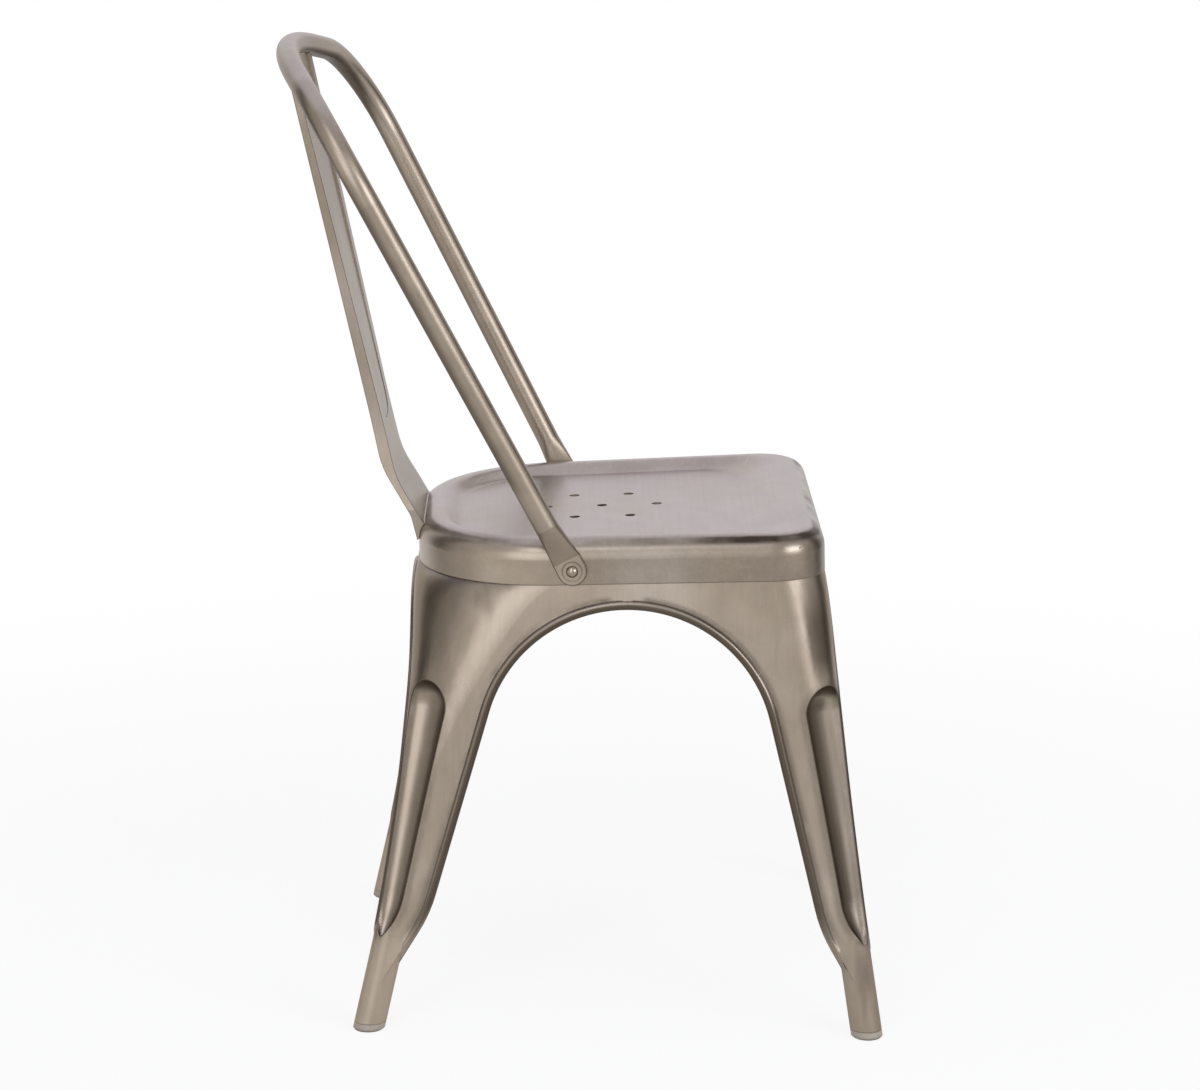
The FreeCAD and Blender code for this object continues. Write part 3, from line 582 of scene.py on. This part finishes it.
def leg_steel():
    steel = Steel("leg_steel", STROKES_UPRIGHT, LEG_EDGE)
    apart = off_seams(steel, SEAM_FADE)
    front = steel.step(steel.y, SEAM_Y, SEAM_Y - FRONT_FADE)
    # Positive on faces that look to their own end of the chair.
    endward = steel.along * (1 - 2 * front)
    corner = turned(steel, front, *CORNER_TURN) * steel.band(steel.z, *CORNER_Z)
    groove = turned(steel, front, *GROOVE_TURN) * steel.band(steel.z, *GROOVE_Z)
    groove = groove * steel.step(endward, *GROOVE_FACES_END)
    above_foot = steel.step(steel.z, *FOOT_BLEND_Z)
    smear = steel.noise(steel.vector("MULTIPLY", steel.place, SMEAR_GRAIN), scale=1, detail=2)
    halo = steel.halo(HALO_REACH) * off_seams(steel, HALO_FADE)
    stain_and_shade = LEG_STAIN_AND_SHADE["edge"] * steel.edges() * apart * above_foot
    stain_and_shade = stain_and_shade.largest(LEG_STAIN_AND_SHADE["halo"] * halo * above_foot)
    stain_and_shade = stain_and_shade.largest(LEG_STAIN_AND_SHADE["smear"] * steel.step(smear, *SMEAR_RARE))
    # The inner side of the roll and faces that look down get painted shade.
    stain_and_shade = stain_and_shade.largest(LEG_STAIN_AND_SHADE["roll"] * roll_shade(steel))
    stain_and_shade = stain_and_shade.largest(LEG_STAIN_AND_SHADE["below"] * steel.below())
    # The corner band: partly stain, partly painted dark reflection.
    stain_and_shade = stain_and_shade.largest(corner * patchy(steel, front, **CORNER_STAIN_AND_REFLECTION))
    # The groove band: partly stain, partly painted shade and painted dark reflection.
    stain_and_shade = stain_and_shade.largest(groove * patchy(steel, front, **GROOVE_STAIN_AND_SHADE))
    # Painted light: the rear feet are painted lighter, a painted reflection of the floor.
    painted_light = FOOT_PAINTED_REFLECTION * (1 - front) * steel.step(steel.z, *FOOT_REFLECTION_Z)
    return steel.finish(stain_and_shade, normal=steel.softened(apart), painted_light=painted_light)


leg_finish = leg_steel()
print("seam of the side arch at y =", round(SEAM_Y, 4))

# %% [markdown]
# ## The seat
#
# The seat is pressed in one piece, with a shallow dish, a rolled rim and a folded skirt. Its top is lilac
# grey with slow clouds, a painted reflection of the pale room. Along the outer side of the rim runs a brown
# line, a painted dark reflection, with smudges of real stain that are heavier at the front corners, where
# hands carry the chair. The dish has slopes of the same steepness, so the line is kept to faces that lean
# away from the middle of the seat. Down the corners of the skirt runs a band that is partly stain and
# partly a painted dark reflection, and faces that look down get painted shade. The skirt is painted
# brighter toward the rear and darker at the front, as painted light.

# %% Steel of the seat
seat_low, seat_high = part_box("seat_pan")
SEAT_EDGE = 0.0015
SEAT_MIDDLE = (seat_low + seat_high) / 2
# The rim line is a painted dark reflection, with smudges of real stain at the front corners.
RIM_TURN = ((0.52, 0.76), (0.88, 0.98))
RIM_FRONT_Y = (0.05, -0.06)
RIM_STAIN_AND_REFLECTION = {"least": 0.06, "front": 0.20, "clouds": 1.1, "mottle": 1.5, "smudge": 0.65}
LEANS_OUT = (0.05, 0.2)
FRONT_SMUDGE = (0.165, -0.165, 0.44)
SMUDGE_REACH = (0.085, 0.03)
# Below is painted shade; the corner band is partly stain, partly painted dark reflection.
SEAT_STAIN_AND_SHADE = {"edge": 0.5, "below": 0.6, "corner": 0.25, "corner_clouds": 0.9}
UPRIGHT_FACES = (0.6, 0.2)
SKIRT_FACES = (0.75, 0.35)
# Painted light: the skirt is painted brighter toward the rear and darker at the front.
SKIRT_LIGHT_Y = (-0.03, 0.11)
SKIRT_PAINTED_LIGHT = {"front": -0.16, "more_at_rear": 0.36}


def rim_stain_and_reflection(steel):
    """The line on the outer side of the rim: a painted dark reflection, with smudges of real stain."""
    from_middle = steel.vector("MULTIPLY", steel.vector("SUBTRACT", steel.place, SEAT_MIDDLE), (1, 1, 0))
    outward = steel.vector("DOT_PRODUCT", steel.normal, steel.vector("NORMALIZE", from_middle), output=1)
    rim = steel.band(steel.up, *RIM_TURN) * steel.step(outward, *LEANS_OUT)
    folded = steel.node("ShaderNodeCombineXYZ", None, {0: abs(steel.x), 1: steel.y, 2: steel.z})
    smudge = steel.step(steel.vector("DISTANCE", folded, FRONT_SMUDGE, output=1), *SMUDGE_REACH)
    wear_and_reflection = RIM_STAIN_AND_REFLECTION["least"] + RIM_STAIN_AND_REFLECTION["front"] * steel.step(steel.y, *RIM_FRONT_Y)
    wear_and_reflection = wear_and_reflection + RIM_STAIN_AND_REFLECTION["clouds"] * steel.cloud + RIM_STAIN_AND_REFLECTION["mottle"] * steel.mottle
    return rim * (wear_and_reflection + RIM_STAIN_AND_REFLECTION["smudge"] * smudge)


def seat_steel():
    steel = Steel("seat_steel", STROKES_SIDEWAYS, SEAT_EDGE)
    # A band down the skirt's corners: partly stain, partly painted dark reflection.
    corner = steel.band(corner_turn(steel), *CORNER_TURN) * steel.step(abs(steel.up), *UPRIGHT_FACES)
    stain_and_shade = (SEAT_STAIN_AND_SHADE["edge"] * steel.edges()).largest(rim_stain_and_reflection(steel))
    stain_and_shade = stain_and_shade.largest(corner * (SEAT_STAIN_AND_SHADE["corner"] + SEAT_STAIN_AND_SHADE["corner_clouds"] * steel.cloud))
    # Faces that look down get painted shade.
    stain_and_shade = stain_and_shade.largest(SEAT_STAIN_AND_SHADE["below"] * steel.below())
    # Painted light: the skirt is painted brighter toward the rear and darker at the front.
    rearward = steel.step(steel.y, *SKIRT_LIGHT_Y)
    painted_light = SKIRT_PAINTED_LIGHT["front"] + SKIRT_PAINTED_LIGHT["more_at_rear"] * rearward
    painted_light = painted_light * steel.step(steel.up, *SKIRT_FACES)
    return steel.finish(stain_and_shade, clouds=0.2, grazing=GRAZING_PALE, painted_light=painted_light)


seat_finish = seat_steel()
print("seat from z =", round(seat_low.z, 3), "to", round(seat_high.z, 3))

# %% [markdown]
# ## Back, rivets and brace
#
# The hoop is a bent tube: its under side gets brown painted shade, and only near its flattened ends, below
# the neck, does it have edges to round. The splat shows faint upright stripes from the press rolls, and its
# faces that look down get painted shade too. Rivets are burnished by the rivet set, and the brace bars
# under the seat are hardly polished.

# %% Steel of the back, the rivets and the brace
HOOP_EDGE = 0.0022
# Below is painted shade on the tube's under side; edge is stain.
HOOP_STAIN_AND_SHADE = {"edge": 0.7, "below": 0.85}
NECK_Z = (0.475, 0.50)
NECK_SHARE = 0.2
SPLAT_EDGE = 0.0012
# Below is painted shade; edge is stain.
SPLAT_STAIN_AND_SHADE = {"edge": 0.75, "below": 0.5}
RIVET_EDGE = 0.0006
RIVET_STAIN = 0.7
BRACE_EDGE = 0.0008
BRACE_STAIN = {"least": 0.35, "clouds": 0.5, "edge": 0.3}


def hoop_steel():
    steel = Steel("hoop_steel", STROKES_SOFT, HOOP_EDGE)
    tube = steel.step(steel.z, *NECK_Z)
    edges = HOOP_STAIN_AND_SHADE["edge"] * steel.edges() * (1 - tube)
    # Faces that look down get painted shade, only a share of it near the flattened ends.
    below = HOOP_STAIN_AND_SHADE["below"] * steel.below() * (NECK_SHARE + (1 - NECK_SHARE) * tube)
    stain_and_shade = edges.largest(below)
    normal = steel.softened(1 - tube)
    return steel.finish(stain_and_shade, roughness=0.38, clouds=0.2, normal=normal, grazing=GRAZING_MIDDLE)


def splat_steel():
    steel = Steel("splat_steel", STRIPES_UPRIGHT, SPLAT_EDGE)
    # Faces that look down get painted shade; edges get stain.
    stain_and_shade = (SPLAT_STAIN_AND_SHADE["edge"] * steel.edges()).largest(SPLAT_STAIN_AND_SHADE["below"] * steel.below())
    return steel.finish(stain_and_shade, clouds=0.14, grazing=GRAZING_MIDDLE)


def rivet_steel():
    steel = Steel("rivet_steel", STROKES_SIDEWAYS, RIVET_EDGE)
    return steel.finish(RIVET_STAIN * steel.edges(), roughness=0.2, clouds=0.1)


def brace_steel():
    steel = Steel("brace_steel", STROKES_SIDEWAYS, BRACE_EDGE)
    stain_and_shade = BRACE_STAIN["least"] + BRACE_STAIN["clouds"] * steel.cloud + BRACE_STAIN["edge"] * steel.edges()
    return steel.finish(stain_and_shade, roughness=0.4)


finishes = {
    "seat_steel": seat_finish,
    "leg_steel": leg_finish,
    "hoop_steel": hoop_steel(),
    "splat_steel": splat_steel(),
    "rivet_steel": rivet_steel(),
    "brace_steel": brace_steel(),
}
print("finishes:", list(finishes))

# %% [markdown]
# ## The feet
#
# The glides are plugs of plastic in the colour of the steel. Plastic is matt and no metal, so it gets a
# plain material with a fine grain, and its tip is worn dark where it slides on the floor. With that every
# slot of the record has its finish, and the finishes go to the pieces.

# %% Plastic of the glides
GLIDE_BEIGE = (0.35, 0.30, 0.245)
GLIDE_WORN = (0.13, 0.11, 0.09, 1)
GLIDE_WEAR_Z = (0.0035, 0.0)
GLIDE_WEAR_RAGGED = 0.002
GLIDE_WEAR_GRAIN = {"scale": 160, "detail": 3}
GLIDE_GRAIN = {"scale": 900, "detail": 3}
GLIDE_GRAIN_TONE = 0.25
GLIDE_ROUGH = {"least": 0.5, "grain": 0.2, "wear_and_reflection": 0.2}
GLIDE_BUMP = {"Strength": 0.15, "Distance": 0.0002}


def glide_plastic():
    material = bpy.data.materials.new("glide")
    shader = Shader(material)
    place = shader.node("ShaderNodeTexCoord", output="Object")
    grain = shader.noise(place, **GLIDE_GRAIN)
    ragged = GLIDE_WEAR_RAGGED * shader.noise(place, **GLIDE_WEAR_GRAIN)
    wear_and_reflection = shader.step(shader.parts(place)[2] + ragged, *GLIDE_WEAR_Z)
    base = shader.blend(wear_and_reflection, shader.shade(GLIDE_BEIGE, 1 + GLIDE_GRAIN_TONE * grain), GLIDE_WORN)
    rough = GLIDE_ROUGH["least"] + GLIDE_ROUGH["grain"] * grain + GLIDE_ROUGH["wear_and_reflection"] * wear_and_reflection
    bump = shader.node("ShaderNodeBump", None, {**GLIDE_BUMP, "Height": grain})
    sockets = {"Base Color": base, "Roughness": rough, "Normal": bump}
    surface = shader.node("ShaderNodeBsdfPrincipled", None, sockets)
    shader.node("ShaderNodeOutputMaterial", None, {"Surface": surface})
    return material


finishes["glide"] = glide_plastic()
for part in frame["record"]["subparts"]:
    slots = frame["nodes"][part["node"]].data.materials
    slots[0] = finishes[part["material_slot"]]

# %% [markdown]
# ## Where the welds run
#
# The splat is welded to the seat's rear edge and to the crown of the hoop, and the legs to each other, from
# inside. The lines need no measuring: they are the points of one piece that lie on another, sorted along
# the weld. Of those that lie side by side we take the one that lies furthest to the welder's side.

# %% Lines where two pieces touch
CONTACT_REACH = 0.0004
POINT_STEP = 0.004
WELDS = {
    "weld_splat_foot": ("back_splat", "seat_pan", "x", Vector((0, -1, 1))),
    "weld_splat_crown": ("back_splat", "back_hoop", "x", Vector((0, 1, 0))),
    "weld_legs_right": ("leg_front_right", "leg_rear_right", "z", Vector((1, 0, 0))),
    "weld_legs_left": ("leg_front_left", "leg_rear_left", "z", Vector((-1, 0, 0))),
    "weld_legs_front": ("leg_front_right", "leg_front_left", "z", Vector((0, 1, 0))),
    "weld_legs_rear": ("leg_rear_right", "leg_rear_left", "z", Vector((0, -1, 0))),
}


def contact_line(piece, other, axis, side):
    """Points of one piece that lie on another, one for each step along an axis, on the welder's side."""
    mesh = frame["nodes"][other].data
    tree = BVHTree.FromPolygons([v.co for v in mesh.vertices], [p.vertices for p in mesh.polygons])
    steps = {}
    for vertex in frame["nodes"][piece].data.vertices:
        if tree.find_nearest(vertex.co, CONTACT_REACH)[0] is not None:
            number = round(getattr(vertex.co, axis) / POINT_STEP)
            steps.setdefault(number, []).append(vertex.co.copy())
    return [max(steps[number], key=side.dot) for number in sorted(steps)]


weld_lines = {name: contact_line(*weld) for name, weld in WELDS.items()}
print("points of the weld lines:", {name: len(line) for name, line in weld_lines.items()})

# %% [markdown]
# ## Weld beads
#
# A weld is a row of small scales that follows a line, which is work for Geometry Nodes: the tree takes the
# line, spaces it evenly, lets the bead swell and shrink from scale to scale and sweeps a ring along it. The
# modifier's inputs are set by their identifiers before the tree first runs. Then the result is copied to a
# plain mesh, and the line with its modifier is removed.

# %% A tree that turns a line into a bead
BEAD_INPUTS = {
    "Bead radius": ("NodeSocketFloat", 0.0010),
    "Scale length": ("NodeSocketFloat", 0.0016),
    "Ripple": ("NodeSocketFloat", 0.35),
    "Ring points": ("NodeSocketInt", 8),
    "Seed": ("NodeSocketInt", 7),
}


def bead_tree():
    tree = bpy.data.node_groups.new("weld_bead", "GeometryNodeTree")
    tree.interface.new_socket("Line", in_out="INPUT", socket_type="NodeSocketGeometry")
    for name, (kind, value) in BEAD_INPUTS.items():
        tree.interface.new_socket(name, in_out="INPUT", socket_type=kind).default_value = value
    tree.interface.new_socket("Finish", in_out="INPUT", socket_type="NodeSocketMaterial")
    tree.interface.new_socket("Bead", in_out="OUTPUT", socket_type="NodeSocketGeometry")

    def add(kind, links, settings=None):
        """Adds a node, sets its options and links its inputs. A plain value is set instead of linked."""
        made = tree.nodes.new(kind)
        for name, value in (settings or {}).items():
            setattr(made, name, value)
        for name, source in links.items():
            if isinstance(source, bpy.types.NodeSocket):
                tree.links.new(source, made.inputs[name])
            else:
                made.inputs[name].default_value = source
        return made.outputs

    given = add("NodeGroupInput", {})
    curve = add("GeometryNodeMeshToCurve", {"Mesh": given["Line"]})[0]
    spacing = {"Curve": curve, "Length": given["Scale length"]}
    even = add("GeometryNodeResampleCurve", spacing, {"mode": "LENGTH"})[0]
    chance = add("FunctionNodeRandomValue", {"Seed": given["Seed"]})[1]
    ripple = {0: chance, 1: given["Ripple"], 2: 1.0}
    swell = add("ShaderNodeMath", ripple, {"operation": "MULTIPLY_ADD"})[0]
    circle = {"Resolution": given["Ring points"], "Radius": given["Bead radius"]}
    ring = add("GeometryNodeCurvePrimitiveCircle", circle)[0]
    sweep = {"Curve": even, "Profile Curve": ring, "Scale": swell, "Fill Caps": True}
    swept = add("GeometryNodeCurveToMesh", sweep)[0]
    smooth = add("GeometryNodeSetShadeSmooth", {"Geometry": swept})[0]
    real = add("GeometryNodeRealizeInstances", {"Geometry": smooth})[0]
    dressed = add("GeometryNodeSetMaterial", {"Geometry": real, "Material": given["Finish"]})[0]
    add("NodeGroupOutput", {"Bead": dressed})
    return tree


def add_weld(name, line, tree, slot):
    """Sweeps the bead along a line and keeps the result as a plain mesh."""
    path = bpy.data.meshes.new(name + "_line")
    path.from_pydata(line, [(i, i + 1) for i in range(len(line) - 1)], [])
    maker = bpy.data.objects.new(name + "_line", path)
    bpy.context.scene.collection.objects.link(maker)
    modifier = maker.modifiers.new("bead", "NODES")
    modifier.node_group = tree
    for item in tree.interface.items_tree:
        if item.name in BEAD_INPUTS:
            modifier[item.identifier] = BEAD_INPUTS[item.name][1]
        if item.name == "Finish":
            modifier[item.identifier] = finishes[slot]
    graph = bpy.context.evaluated_depsgraph_get()
    mesh = bpy.data.meshes.new_from_object(maker.evaluated_get(graph))
    bpy.data.objects.remove(maker)
    weld = bpy.data.objects.new(name, mesh)
    bpy.context.scene.collection.objects.link(weld)
    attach(weld, "root")
    return len(mesh.polygons)


bead = bead_tree()
for name, line in weld_lines.items():
    slot = "splat_steel" if "splat" in name else "leg_steel"
    print(name, "faces:", add_weld(name, line, bead, slot))
